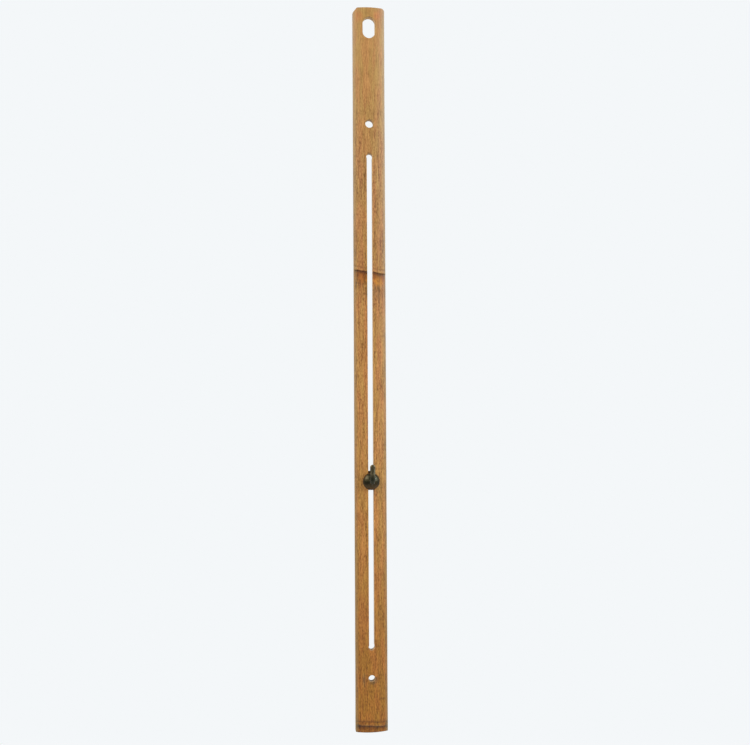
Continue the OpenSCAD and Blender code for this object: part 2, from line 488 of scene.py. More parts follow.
@dataclass(frozen=True)
class CulmNode:
    """A natural node of the culm: a sheath scar with a shallow band below it.

    Attributes:
        level: Height of the scar at the slat's middle.
        slope: Slope of the scar, falling to the right, in degrees.
        reach: Height over which the slope fades out, below and above.
        waves: The scar's wander as a sum of waves: height in millimetres, pace per millimetre, start.
    """

    level: float
    slope: float
    reach: tuple[float, float]
    waves: tuple[tuple[float, float, float], ...]

    def rise(self, x: np.ndarray) -> np.ndarray:
        """Returns the scar's height above its level at each X, in metres."""
        wander = sum(height * np.sin(pace * x / MM + start) for height, pace, start in self.waves)
        return -x * math.tan(math.radians(self.slope)) + wander * MM

    def share(self, level: float) -> float:
        """Works out how far a ring follows the scar.

        Args:
            level: The ring's height at the slat's middle.

        Returns:
            The share, from 0 to 1.
        """
        away = (level - self.level) / MM
        below, above = self.reach[0] / MM, self.reach[1] / MM
        return float(np.interp(away, [-below, -below * 0.4, above * 0.4, above], [0, 1, 1, 0]))

    def above_scar(self, tree: Tree, x: Wire, z: Wire) -> Wire:
        """Works out, in a material, the height above the scar.

        Args:
            tree: The material's tree.
            x: X in millimetres.
            z: Height in millimetres.

        Returns:
            The height above the scar, in millimetres.
        """
        total = z - self.level / MM + x * math.tan(math.radians(self.slope))
        for height, pace, start in self.waves:
            total -= tree.math("SINE", x * pace + start) * height
        return total


@dataclass(frozen=True)
class Grain:
    """Where a point of the bamboo lies and what its fibres do there, inside one material.

    Attributes:
        surface: The material's tree.
        x: X, in millimetres.
        z: Height, in millimetres.
        round_skin: Way round the culm from the slat's middle, in millimetres.
        depth: Depth below the skin, in millimetres.
        fine: Noise of the fine fibres.
        streak: Noise of the broad fibres.
        cloud: Noise of the slow changes of tone.
    """

    surface: Surface
    x: Wire
    z: Wire
    round_skin: Wire
    depth: Wire
    fine: Wire
    streak: Wire
    cloud: Wire


@dataclass(frozen=True)
class BambooFinish:
    """Smoked bamboo: a satin skin over fibrous wood, with darker nodes.

    Attributes:
        culm_radius: Radius of the culm's skin.
        culm_wall: Thickness of its wall.
        axis_y: Where the culm's axis stands.
        low: Height of the slat's foot.
        high: Height of its top.
        nodes: The culm's nodes on this slat, from the top.
    """

    culm_radius: float
    culm_wall: float
    axis_y: float
    low: float
    high: float
    nodes: tuple[CulmNode, CulmNode]

    def material(self) -> Material:
        """Builds the material.

        Returns:
            A material that tells skin, cut wood, end grain and the hollow apart by place.
        """
        surface = Surface("smoked_bamboo", {"Specular IOR Level": 0.4})
        x, y, z = surface.split(surface.millimetres())
        out_y = y - self.axis_y / MM
        radius = surface.math("SQRT", x * x + out_y * out_y)
        depth = self.culm_radius / MM - radius
        round_skin = surface.math("ARCTAN2", x, out_y * -1.0) * (self.culm_radius / MM)
        normal_x, normal_y, normal_z = surface.split(surface.normal)
        # The skin faces away from the culm's axis, and the ends face up or down.
        skin = ((normal_x * x + normal_y * out_y) / radius).step(0.45, 0.75)
        end = abs(normal_z).step(0.6, 0.85)

        def fibres(pace: float, lengthwise: float, detail: float) -> Wire:
            """Returns noise drawn out along the fibres, by its waves per millimetre each way."""
            place = surface.join(round_skin * pace, depth * pace, z * lengthwise)
            return surface.noise(place, detail=detail)

        fine = fibres(3.4, 0.10, 2.0) * 0.5 + fibres(7.5, 0.05, 1.0) * 0.5
        streak = fibres(0.5, 0.03, 3.0) * 0.28 + fibres(1.1, 0.10, 3.0) * 0.3 + fibres(1.1, 0.38, 3.0) * 0.42
        cloud = fibres(0.16, 0.028, 3.0)
        grain = Grain(surface, x, z, round_skin, depth, fine, streak, cloud)
        sawn = self.sawn_backlit_walls(grain)
        colour = surface.mix(skin, self.wood_colour(grain, sawn), self.skin_colour(grain))
        colour = surface.mix(end, colour, self.end_grain(grain, sawn))
        satin, dull = 0.34 + fine * 0.14 + cloud * 0.08, 0.68
        roughness = skin * satin + (1.0 - skin) * dull
        return surface.finish(colour, roughness, fine * 0.7 + streak * 0.3, 0.05 * MM)

    def skin_colour(self, grain: Grain) -> Wire:
        """Colours the culm's skin, with its nodes, its marks and its fibres; one mark is a painted shadow.

        Args:
            grain: The point and its fibres.

        Returns:
            The skin's colour.
        """
        surface, x, z = grain.surface, grain.x, grain.z
        # Noise shifts the slow colours up or down the slat, and blurs a scar below its edge.
        drift = (grain.cloud - 0.5) * 120.0
        base, _ = surface.ramp(z + drift, SKIN)
        for node, marks in zip(self.nodes, (UPPER_SCAR, FOOT_SCAR)):
            above = node.above_scar(surface, x, z)
            blur = (grain.streak - 0.5) * 5.0 * above.step(-0.2, -2.0)
            colour, cover = surface.ramp(above + blur, marks)
            base = surface.mix(cover, base, colour)
        base = self.stains_and_shadow(grain, base)
        hairs, _ = surface.ramp(grain.fine, HAIRS)
        base = surface.mix(1.0, base, hairs, Blend.MULTIPLY)
        bands, _ = surface.ramp(grain.streak, BANDS)
        calm_at_top = z.step(-20.0, -150.0) * 0.55 + 0.45
        base = surface.mix(calm_at_top, base, bands, Blend.MULTIPLY)
        tint = surface.mix(grain.cloud.step(0.4, 0.62), srgb(246, 255, 235), srgb(255, 246, 237))
        base = surface.mix(1.0, base, tint, Blend.MULTIPLY)
        edge = abs(x).step(12.4, 15.6)
        return surface.mix(edge * 0.5, base, srgb(140, 124, 92))

    def stains_and_shadow(self, grain: Grain, base: Wire) -> Wire:
        """Lays the single marks over the skin, such as those round the bud's groove, and the painted shadow
        round the lower fixing hole.

        Args:
            grain: The point and its fibres.
            base: The skin's colour without them.

        Returns:
            The colour with them.
        """
        surface, upper = grain.surface, self.nodes[0].level / MM
        for skin_mark in STAINS_AND_SHADOW:
            along = (grain.z - (upper + skin_mark.z)) * (1 / skin_mark.half_height)
            width = along * (skin_mark.half_width * skin_mark.taper) + skin_mark.half_width
            side = (grain.x - skin_mark.x) / width
            away = surface.math("SQRT", side * side + along * along)
            ragged = away + (grain.streak - 0.5) * 2.2
            base = surface.mix(ragged.step(1.25, 0.3) * skin_mark.strength, base, skin_mark.colour)
        return base

    def sawn_backlit_walls(self, grain: Grain) -> Wire:
        """Tells the walls of the slot and holes from the slat's sides and ends.

        Args:
            grain: The point and its fibres.

        Returns:
            How pale the opening walls are made, from 1 in the openings down to 0 outside them, and less near
            the foot: partly the paler cut and partly painted light.
        """
        middle, reach = (self.low + self.high) / 2 / MM, (self.high - self.low) / 2 / MM
        # Heights and places across the slat, in millimetres.
        shaded_foot, backlit_above = -645.0, -600.0
        beside, widest_opening = 10.0, 8.0
        inside = abs(grain.z - middle).step(reach - 0.5, reach - 1.5)
        # Painted shade: towards the foot the walls keep less of their painted light, so those of the lower
        # fixing hole stay darker.
        backlit = grain.z.step(shaded_foot, backlit_above) * 0.6 + 0.4
        return abs(grain.x).step(beside, widest_opening) * inside * backlit

    def wood_colour(self, grain: Grain, sawn: Wire) -> Wire:
        """Colours the cut wood.

        Fibres run close under the skin and fade inwards. The walls of the openings were sawn after
        the smoking, so they are paler than the slat's sides. Their paleness is also painted light, standing
        for the backdrop's light that comes through the openings.

        Args:
            grain: The point and its fibres.
            sawn: How pale the walls are made, from 0 to 1, for the fresh cut and for painted backdrop light.

        Returns:
            The wood's colour, with the pith of the hollow.
        """
        surface, depth, streak = grain.surface, grain.depth, grain.streak
        smoked, _ = surface.ramp(streak, SMOKED_WOOD)
        pale, _ = surface.ramp(streak, PALE_WOOD)
        # Partly painted light: the opening walls take the pale wood, for the paler cut and for the
        # backdrop's light through the openings.
        ground = surface.mix(sawn, smoked, pale)
        near_skin = depth.step(6.0, 0.5) * 0.45 + 0.35
        share = grain.fine.step(0.5, 0.42) * near_skin * (1.0 - sawn * 0.65)
        cut = surface.mix(share, ground, srgb(92, 62, 34))
        hollow = depth.step(self.culm_wall / MM - 0.25, self.culm_wall / MM - 0.08)
        pith = surface.mix(streak.step(0.4, 0.6), srgb(160, 128, 84), srgb(184, 154, 108))
        return surface.mix(hollow, cut, pith)

    def end_grain(self, grain: Grain, sawn: Wire) -> Wire:
        """Draws the fibre bundles of a sawn end: small and close at the skin, larger inside.

        Args:
            grain: The point and its fibres.
            sawn: How pale the walls are made, from 0 to 1, for the fresh cut and for painted backdrop light.

        Returns:
            The end's colour.
        """
        surface, depth = grain.surface, grain.depth
        crowd = 3.6 - depth * 0.28
        bundles = surface.cells(surface.join(grain.round_skin * crowd, depth * 2.2, 0.0), 1.0, "2D")
        rind = depth.step(0.7, 0.15)
        smoked = surface.mix(rind, srgb(150, 118, 74), srgb(104, 70, 38))
        # Partly painted light, as on the opening walls: the ends in the openings are paler where the
        # backdrop's light comes through.
        pale = surface.mix(rind, srgb(190, 158, 114), srgb(152, 116, 76))
        share = bundles.step(0.42, 0.22) * (0.85 - sawn * 0.6)
        return surface.mix(share, surface.mix(sawn, smoked, pale), srgb(70, 44, 22))


@dataclass(frozen=True)
class SkinMark:
    """A dark or golden mark on the skin, narrowing downwards, placed from the upper scar; one of them is a
    painted shadow.

    Attributes:
        x: Its middle across the slat, in millimetres.
        z: Its middle's height above the upper scar, in millimetres.
        half_width: Half its width.
        half_height: Half its height.
        taper: How much of its width goes from its middle to its foot.
        strength: How fully it covers the skin, from 0 to 1.
        colour: Its colour.
    """

    x: float
    z: float
    half_width: float
    half_height: float
    taper: float
    strength: float
    colour: Colour


STAINS_AND_SHADOW = (
    SkinMark(8.8, -22.0, 4.4, 9.5, 0.5, 0.6, srgb(136, 98, 62)),
    SkinMark(8.4, -17.5, 2.4, 3.6, 0.0, 0.5, srgb(122, 82, 44)),
    SkinMark(4.4, -20.0, 1.6, 11.0, 0.2, 0.6, srgb(128, 104, 72)),
    SkinMark(-13.2, -9.0, 3.0, 8.0, 0.2, 0.5, srgb(122, 80, 34)),
    SkinMark(-8.8, -12.0, 3.4, 4.0, 0.0, 0.25, srgb(136, 86, 34)),
    SkinMark(-4.0, -20.0, 1.4, 10.0, 0.2, 0.6, srgb(120, 84, 42)),
    SkinMark(8.6, -10.6, 5.6, 4.6, 0.0, 0.6, srgb(214, 146, 58)),
    SkinMark(13.0, -6.4, 3.4, 4.0, 0.0, 0.6, srgb(158, 88, 32)),
    SkinMark(-13.5, -451.5, 3.0, 3.0, 0.0, 0.8, srgb(72, 42, 20)),
    SkinMark(14.5, -450.5, 1.6, 4.5, 0.0, 0.7, srgb(84, 60, 40)),
    SkinMark(-3.5, 157.5, 0.8, 2.2, 0.0, 0.5, srgb(128, 84, 44)),
    SkinMark(-9.6, 253.5, 5.0, 6.0, 0.0, 0.45, srgb(200, 128, 84)),
    SkinMark(7.4, 255.0, 5.0, 5.0, 0.0, 0.45, srgb(202, 132, 88)),
    # Painted shadow: a soft grey halo round the lower fixing hole, heavier to its lower right.
    SkinMark(1.6, -405.4, 5.0, 4.8, 0.0, 0.75, srgb(112, 96, 76)),
    SkinMark(-7.8, -405.0, 2.0, 8.0, 0.0, 0.55, srgb(128, 104, 82)),
    SkinMark(6.5, -402.0, 0.7, 10.0, 0.0, 0.35, srgb(112, 70, 36)),
)

# Skin colours down the slat, from the foot to the top, by height in millimetres. The paler top and darker
# foot are partly painted light (the falloff and sheen of the lamps above), laid over the culm's own change
# of tone.
SKIN = stops(
    (-700, 178, 124, 50), (-640, 182, 127, 60), (-570, 190, 137, 74), (-500, 200, 149, 89),
    (-400, 202, 154, 97), (-290, 200, 150, 96), (-230, 189, 142, 90), (-150, 192, 149, 101),
    (-60, 186, 145, 94), (20, 182, 143, 92),
)

# Fibres in the skin and the cut wood, by their noise.
HAIRS = stops((0.33, 156, 128, 96), (0.46, 236, 230, 222), (0.6, 255, 255, 252))
BANDS = stops((0.38, 146, 121, 90), (0.5, 228, 221, 210), (0.58, 255, 255, 252))
SMOKED_WOOD = stops((0.3, 122, 96, 62), (0.5, 158, 128, 86), (0.7, 176, 146, 102))
PALE_WOOD = stops((0.3, 160, 130, 92), (0.5, 198, 165, 119), (0.7, 214, 184, 138))

# Colours across a scar and how fully each covers the skin, by height above it in millimetres. In both ramps,
# the dark line at the scar is partly painted shadow under the lip, laid over the scar's own dark stain. The
# pale line just above it is a painted highlight on the lip's edge, and the dark line some 3 to 4 mm above is
# painted shade in a shallow groove.
UPPER_SCAR = stops(
    (-20.0, 186, 136, 80, 0.0), (-16.2, 184, 132, 76, 0.5), (-14.6, 196, 146, 88, 0.5),
    (-13.4, 156, 106, 50, 0.6), (-11.0, 178, 122, 54, 0.8), (-8.6, 186, 124, 46, 0.85),
    (-5.6, 172, 110, 34, 0.9), (-3.4, 154, 96, 28, 0.95), (-2.0, 124, 76, 24, 1.0),
    (-1.0, 108, 66, 22, 1.0), (-0.3, 104, 64, 26, 1.0), (0.05, 122, 80, 42, 1.0),
    (0.5, 182, 136, 86, 0.8), (0.8, 190, 142, 88, 0.6), (2.0, 184, 134, 80, 0.2),
    (3.2, 140, 94, 50, 0.6), (3.9, 150, 104, 60, 0.4), (5.4, 176, 130, 84, 0.0),
)
FOOT_SCAR = stops(
    (-8.0, 132, 84, 26, 0.9), (-4.6, 160, 104, 36, 0.85), (-2.4, 138, 88, 28, 0.9),
    (-0.9, 104, 66, 24, 1.0), (0.0, 110, 72, 30, 1.0), (0.5, 176, 128, 70, 0.8),
    (1.2, 172, 124, 66, 0.7), (2.4, 156, 106, 48, 0.3), (3.8, 112, 68, 28, 0.8),
    (4.8, 130, 84, 34, 0.5), (7.0, 160, 110, 54, 0.0),
)

# Relief across a scar: height above it and height of the skin, both in millimetres.
SCAR_RELIEF = (
    (-19.0, 0.0), (-16.5, 0.03), (-15.0, 0.09), (-13.6, -0.04), (-10.0, -0.16), (-5.0, -0.26),
    (-1.4, -0.28), (-0.5, -0.26), (-0.2, -0.12), (0.0, -0.02), (0.2, 0.05), (0.6, 0.09), (1.2, 0.08),
    (2.4, 0.03), (3.2, -0.06), (3.7, -0.06), (4.6, 0.02), (8.0, 0.02), (14.0, 0.0),
)


@dataclass(frozen=True)
class BudGroove:
    """The groove that a bud left below a scar: a wedge that fades downwards, in millimetres.

    Attributes:
        x: Its middle across the slat.
        top: Drop from the scar to its top.
        foot: Drop from the scar to where it runs out.
        depth: Its greatest depth.
        foot_width: Its width where it runs out.
        spread: How much wider it is at the top.
        run_in: Length over which it deepens.
    """

    x: float = 8.6
    top: float = 14.5
    foot: float = 32.0
    depth: float = 0.18
    foot_width: float = 0.9
    spread: float = 1.9
    run_in: float = 1.5

    def cut(self, x: float, below: float) -> float:
        """Works out the groove's depth at a point of the skin.

        Args:
            x: X in millimetres.
            below: Drop below the scar, in millimetres.

        Returns:
            The depth in metres.
        """
        if not self.top < below < self.foot:
            return 0.0
        fade = 1 - (below - self.top) / (self.foot - self.top)
        across = (x - self.x) / (self.foot_width + self.spread * fade)
        return self.depth * MM * fade * math.exp(-across ** 2) * min(1.0, (below - self.top) / self.run_in)


@dataclass
class BambooSlat:
    """The slat: a split, planed strip of culm with its holes, slot and two nodes.

    Attributes:
        low: The CAD slat's lowest corner.
        high: Its highest corner.
    """

    low: Vector
    high: Vector
    culm_radius: float = 40 * MM
    culm_wall: float = 7 * MM
    node_drop: float = 242.5 * MM
    foot_node_rise: float = 6.5 * MM
    node_slope: float = 7.5
    foot_node_slope: float = 3.0
    cross_wall: float = 3.5 * MM
    cross_wall_drop: float = 9 * MM
    plate_way: float = 15.2 * MM
    arris: float = 0.35 * MM
    side_inset: float = 0.1 * MM
    edge_ease: float = 0.12 * MM
    taper: float = 0.25 * MM
    foot_swell: float = 0.12 * MM
    swell_reach: float = 18 * MM
    skin_wave: float = 0.03 * MM
    edge_wave: float = 0.06 * MM
    columns: int = 60
    side_points: int = 5
    ring_step: float = 4 * MM
    least_step: float = 0.03 * MM
    bud: BudGroove = BudGroove()
    axis_y: float = field(init=False)
    nodes: tuple[CulmNode, CulmNode] = field(init=False)

    def __post_init__(self) -> None:
        """Works out the culm's axis and nodes from the slat's box."""
        self.axis_y = self.low.y + self.culm_radius
        self.nodes = (
            CulmNode(-self.node_drop, self.node_slope, (45 * MM, 45 * MM),
                     ((0.24, 0.43, 0.6), (0.12, 1.13, 2.1), (0.05, 2.7, 0.4))),
            CulmNode(self.low.z + self.foot_node_rise, self.foot_node_slope, (self.foot_node_rise, 30 * MM),
                     ((0.2, 0.29, 2.4), (0.08, 0.93, 1.1), (0.06, 2.2, 0.2))),
        )

    def finish(self) -> BambooFinish:
        """Returns the slat's finish, placed by its own sizes."""
        return BambooFinish(self.culm_radius, self.culm_wall, self.axis_y, self.low.z, self.high.z,
                            self.nodes)

    def levels(self) -> np.ndarray:
        """Returns the heights of the rings, close together where the shape changes."""
        gap, tiny = 0.02 * MM, 1e-9
        below, above = 30 * MM, 14 * MM
        marks = [np.arange(self.low.z + self.ring_step, self.high.z - self.ring_step / 2, self.ring_step)]
        for node in self.nodes:
            marks.append(node.level + np.arange(-below, 0, 1.2 * MM))
            marks.append(node.level + np.arange(0, above, 0.9 * MM))
            marks.append(node.level + np.array([height for height, _ in SCAR_RELIEF]) * MM)
        wall_top = self.nodes[0].level - self.cross_wall_drop
        for edge in (wall_top, wall_top - self.cross_wall, self.low.z + self.cross_wall):
            marks.append(np.array([edge - gap, edge + gap]))
        lowest, highest = self.low.z + self.arris, self.high.z - self.arris
        marks.append(np.array([lowest, highest]))
        heights = np.unique(np.round(np.concatenate(marks), 6))
        kept = [self.low.z]
        for height in heights[(heights >= lowest - tiny) & (heights <= highest + tiny)]:
            if height - kept[-1] > self.least_step:
                kept.append(height)
        return np.array(kept + [self.high.z])

    def across(self) -> np.ndarray:
        """Returns the columns' places across the slat, with doubles at the edges behind."""
        step = 0.03 * MM
        half = self.high.x - self.side_inset
        hollow = math.sqrt((self.culm_radius - self.culm_wall) ** 2 - self.axis_y ** 2)
        marks = [np.linspace(-half, half, self.columns + 1)]
        for edge in (self.plate_way / 2, hollow):
            marks.append(np.array([-edge - step, -edge + step, edge - step, edge + step]))
        return np.unique(np.round(np.concatenate(marks), 7))

    def half_width(self, level: float) -> float:
        """Works out half the slat's width: it narrows upwards and swells at the foot's node.

        Args:
            level: The ring's height at the slat's middle.

        Returns:
            Half the width.
        """
        share = (level - self.low.z) / (self.high.z - self.low.z)
        near_foot = (level - self.nodes[1].level) / self.swell_reach
        return self.high.x - self.taper * share + self.foot_swell * math.exp(-near_foot ** 2)

    def front(self, x: np.ndarray, level: float) -> np.ndarray:
        """Shapes the skin in front, with the relief of its nodes.

        Args:
            x: Places across the slat.
            level: The ring's height at the slat's middle.

        Returns:
            Y at each X.
        """
        heights, depths = zip(*SCAR_RELIEF)
        relief = 0.0
        for node in self.nodes:
            away = (level - node.level) / MM
            relief += float(np.interp(away, heights, depths, left=0.0, right=0.0))
        skin = np.full(x.shape, relief * MM)
        below = (self.nodes[0].level - level) / MM
        wave_width, wave_length, proudest = 7 * MM, 60 * MM, 0.1 * MM
        for i, here in enumerate(x):
            skin[i] += self.skin_wave * noise.noise(Vector((here / wave_width, level / wave_length, 4.0)))
            skin[i] -= self.bud.cut(here / MM, below)
        radius = self.culm_radius + np.minimum(skin, proudest)
        return self.axis_y - np.sqrt(radius ** 2 - x ** 2)

    def broken_wall(self, x: np.ndarray, level: float, grain: float, seed: float) -> np.ndarray:
        """Returns noise over a broken cross wall of the culm at each X.

        Args:
            x: Places across the slat.
            level: The ring's height.
            grain: Size of the noise across the slat.
            seed: Where in the noise the wall lies.

        Returns:
            The noise, from -1 to 1.
        """
        return np.array([noise.noise(Vector((v / grain, level / (2 * MM), seed))) for v in x])

    def back(self, x: np.ndarray, level: float) -> np.ndarray:
        """Shapes the planed back, with the culm's hollow and its cut cross walls.

        Args:
            x: Places across the slat.
            level: The ring's height at the slat's middle.

        Returns:
            Y at each X.
        """
        hollow_radius = self.culm_radius - self.culm_wall
        hollow = self.axis_y - np.sqrt(hollow_radius ** 2 - np.minimum(np.abs(x), hollow_radius) ** 2)
        hollow = np.minimum(hollow, 0.0)
        wall_top = self.nodes[0].level - self.cross_wall_drop
        if wall_top - self.cross_wall < level < wall_top:
            wall = (-0.35 + 0.2 * self.broken_wall(x, level, 2.5 * MM, 9.0)) * MM
            return np.where(np.abs(x) > self.plate_way / 2, np.maximum(hollow, np.minimum(wall, 0)), hollow)
        if level < self.low.z + self.cross_wall:
            return np.maximum(hollow, (-0.2 + 0.12 * self.broken_wall(x, level, 3 * MM, 3.0)) * MM)
        return hollow

    def ring(self, level: float) -> np.ndarray:
        """Returns the slat's outline at one level, bent to follow a near scar.

        Args:
            level: The ring's height at the slat's middle.

        Returns:
            Points round the slat: the skin from left to right, the right side, the back from
            right to left and the left side.
        """
        wave_length = 45 * MM
        wander = self.edge_wave * (noise.noise(Vector((level / wave_length, 7.0, 1.0))) - 1)
        half = self.half_width(level) + wander
        at_end = min(level - self.low.z, self.high.z - level) < self.arris / 2
        inset = self.arris * 0.7 if at_end else 0.0
        x = self.across() * (half - inset - self.side_inset) / (self.high.x - self.side_inset)
        front, back = self.front(x, level) + inset, self.back(x, level) - inset
        front[[0, -1]] += self.edge_ease
        back[[0, -1]] -= self.edge_ease
        side_x = np.full(self.side_points, half - inset)
        side_y = np.linspace(front[-1] + self.arris, back[-1] - self.arris, self.side_points)
        flat_x = np.concatenate((x, side_x, x[::-1], -side_x))
        flat_y = np.concatenate((front, side_y, back[::-1], side_y[::-1]))
        rise = sum(node.rise(flat_x) * node.share(level) for node in self.nodes)
        return np.stack((flat_x, flat_y, level + rise), axis=-1)

    def blank(self) -> Mesh:
        """Builds the slat before its slot and holes are cut, as one closed skin."""
        width, side = len(self.across()), self.side_points
        made = bmesh.new()
        points = add_rings(made, [self.ring(level) for level in self.levels()])
        for ring in (points[0], points[-1]):
            behind = ring[width + side:2 * width + side][::-1]
            for j in range(width - 1):
                made.faces.new((ring[j], ring[j + 1], behind[j + 1], behind[j]))
            made.faces.new((ring[width - 1], *ring[width:width + side], behind[-1]))
            made.faces.new((behind[0], *ring[2 * width + side:], ring[0]))
        return settled(made)

    def build(self) -> None:
        """Builds the slat with its openings and dresses it."""
        stock = helper(self.blank(), "slat_stock")
        tools = helper(SlatOpenings(self).cutters(), "slat_tools")
        cut = stock.modifiers.new("openings", "BOOLEAN")
        cut.operation, cut.solver, cut.object = "DIFFERENCE", "EXACT", tools
        mesh = evaluated_mesh(stock)
        drop(tools)
        drop(stock)
        slat = new_piece("bamboo_slat_split", mesh, self.finish().material(), 32)
        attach(slat, "slat")
        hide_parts("bamboo_slat")


@dataclass
class SlatOpenings:
    """The slot, the holes and the two trimmed top corners, as tools that cut the slat.

    Attributes:
        slat: The slat that they cut.
    """

    slat: BambooSlat
    hang_width: float = 12.5 * MM
    hang_height: float = 21 * MM
    upper_fixing_diameter: float = 8 * MM
    lower_fixing_diameter: float = 6.7 * MM
    upper_fixing_drop: float = 95.5 * MM
    lower_fixing_rise: float = 53.5 * MM
    slot_width: float = 5.5 * MM
    slot_end_diameter: float = 6.4 * MM
    slot_top_drop: float = 125 * MM
    slot_bottom_rise: float = 81.5 * MM
    left_corner: tuple[float, float] = (4 * MM, 4.5 * MM)
    right_corner_radius: float = 3.5 * MM
    foot_narrowing: float = 0.16
    eased: float = 0.22 * MM
    beyond: float = 3 * MM

    def obround(self, grow: float) -> Outline:
        """Draws the hanging hole, its foot cut a little to a point.

        Args:
            grow: Offset of the outline, for the eased edge.

        Returns:
            Its outline.
        """
        radius = self.hang_width / 2 + grow
        straight = (self.hang_height - self.hang_width) / 2
        points = []
        for angle in np.radians(np.arange(0, 360, 5)):
            side, up = math.cos(angle), math.sin(angle)
            narrow = 1 + self.foot_narrowing * min(0.0, up) * (1 - abs(side))
            points.append((radius * side * narrow, math.copysign(straight, up) + radius * up))
        return points

    def fixing_hole(self, level: float, diameter: float, grow: float) -> Outline:
        """Returns the outline of a fixing hole, from the height of its middle and its diameter."""
        return arc((0.0, level), diameter / 2 + grow, 0, 355, 71)

    def slot(self, grow: float) -> Outline:
        """Draws the slot: two drilled ends joined by the sawn sides.

        Args:
            grow: Offset of the outline, for the eased edge.

        Returns:
            Its outline.
        """
        half, radius = self.slot_width / 2 + grow, self.slot_end_diameter / 2 + grow
        turn = math.degrees(math.acos(half / radius))
        top = -self.slot_top_drop - self.slot_end_diameter / 2
        foot = self.slat.low.z + self.slot_bottom_rise + self.slot_end_diameter / 2
        upper = arc((0.0, top), radius, -turn, 180 + turn, 24)
        lower = arc((0.0, foot), radius, 180 - turn, 360 + turn, 24)
        return upper + lower

    def tool(self, made: BMesh, sections: list[tuple[float, Outline]]) -> None:
        """Adds one closed cutting tool.

        Args:
            made: The working mesh of all the tools.
            sections: Its outlines, each with its Y, at rising Y.
        """
        rings = add_rings(made, [[(x, y, z) for x, z in outline] for y, outline in sections])
        made.faces.new(rings[0])
        made.faces.new(rings[-1])

    def eased_tool(self, made: BMesh, outline: Callable[[float], Outline], front_y: float) -> None:
        """Adds a cutting tool that eases the opening's edges in front and behind.

        Args:
            made: The working mesh of all the tools.
            outline: Gives the opening's outline, grown by an offset.
            front_y: Y of the skin beside the opening.
        """
        hollow_y = self.slat.low.y + self.slat.culm_wall
        stations = ((front_y - self.beyond, self.eased), (front_y, self.eased), (front_y + self.eased, 0.0),
                    (hollow_y - self.eased, 0.0), (hollow_y, self.eased), (self.beyond, self.eased))
        self.tool(made, [(y, outline(grow)) for y, grow in stations])

    def corner_tools(self, made: BMesh) -> None:
        """Adds the straight tools that saw off the left top corner and round the right one.

        Args:
            made: The working mesh of all the tools.
        """
        right, top = self.slat.half_width(self.slat.high.z), self.slat.high.z
        wide, tall = self.left_corner
        slope = tall / wide
        outside, above = -right - self.beyond, top + self.beyond * slope
        sawn = [(outside, top - tall - self.beyond * slope), (-right + wide + self.beyond, above),
                (outside, above)]
        radius = self.right_corner_radius
        curve = arc((right - radius, top - radius), radius, 0, 90, 12)
        rounded = [(right + self.beyond, curve[0][1]), *curve, (curve[-1][0], top + self.beyond),
                   (right + self.beyond, top + self.beyond)]
        for outline in (sawn, rounded):
            self.tool(made, [(self.slat.low.y - self.beyond, outline), (self.beyond, outline)])

    def cutters(self) -> Mesh:
        """Builds every tool into one mesh."""
        skin_y, foot = self.slat.low.y, self.slat.low.z
        upper = partial(self.fixing_hole, -self.upper_fixing_drop, self.upper_fixing_diameter)
        lower = partial(self.fixing_hole, foot + self.lower_fixing_rise, self.lower_fixing_diameter)
        made = bmesh.new()
        # The skin is round, so it lies further back beside a wide opening.
        self.eased_tool(made, self.obround, skin_y + 0.3 * MM)
        self.eased_tool(made, self.slot, skin_y + 0.1 * MM)
        self.eased_tool(made, upper, skin_y + 0.15 * MM)
        self.eased_tool(made, lower, skin_y + 0.15 * MM)
        self.corner_tools(made)
        return settled(made)


# ---------------------------------------------------------------------------------------------
# Iron, steel and leather


@dataclass(frozen=True)
class IronFinish:
    """Forged iron under an old waxed patina, brighter where hands and loops have polished it. On the boss
    the same colour is a painted reflection of the bamboo at its rim, with a browner tint below.

    Attributes:
        name: The material's name.
        dark: Colour of the patina's hollows.
        light: Colour of its high places.
        rubbed_and_reflected: Colour of the hook's polished places and of the boss's painted reflection, by
            the piece's attribute "wear_and_reflection".
        roughness: Its middling roughness.
    """

    name: str
    dark: Colour
    light: Colour
    rubbed_and_reflected: Colour
    roughness: float

    def material(self) -> Material:
        """Builds the material."""
        smooth = self.roughness - 0.1
        surface = Surface(self.name, {"Metallic": 0.85, "Coat Weight": 0.22, "Coat Roughness": smooth})
        place = surface.millimetres()
        cloud = surface.noise(place, 0.28, 4.0)
        grain = surface.noise(place, 3.2, 3.0)
        pits = surface.noise(place, 9.0, 2.0)
        colour = surface.mix(cloud.step(0.3, 0.72), self.dark, self.light)
        colour = surface.mix(grain.step(0.46, 0.75) * 0.4, colour, self.light)
        # On the hook this share is real wear. On the boss it is a painted reflection of the bamboo and a
        # browner lower half.
        wear_and_reflection_share = surface.out("ShaderNodeAttribute", output="Fac", attribute_name="wear_and_reflection")
        rub_and_reflection = wear_and_reflection_share * grain.step(0.3, 0.6)
        colour = surface.mix(rub_and_reflection, colour, self.rubbed_and_reflected)
        roughness = smooth + cloud * 0.16 + grain * 0.1 - rub_and_reflection * 0.08
        height = grain * 0.55 + pits * 0.25 + cloud * 0.5
        return surface.finish(colour, roughness, height, 0.06 * MM)


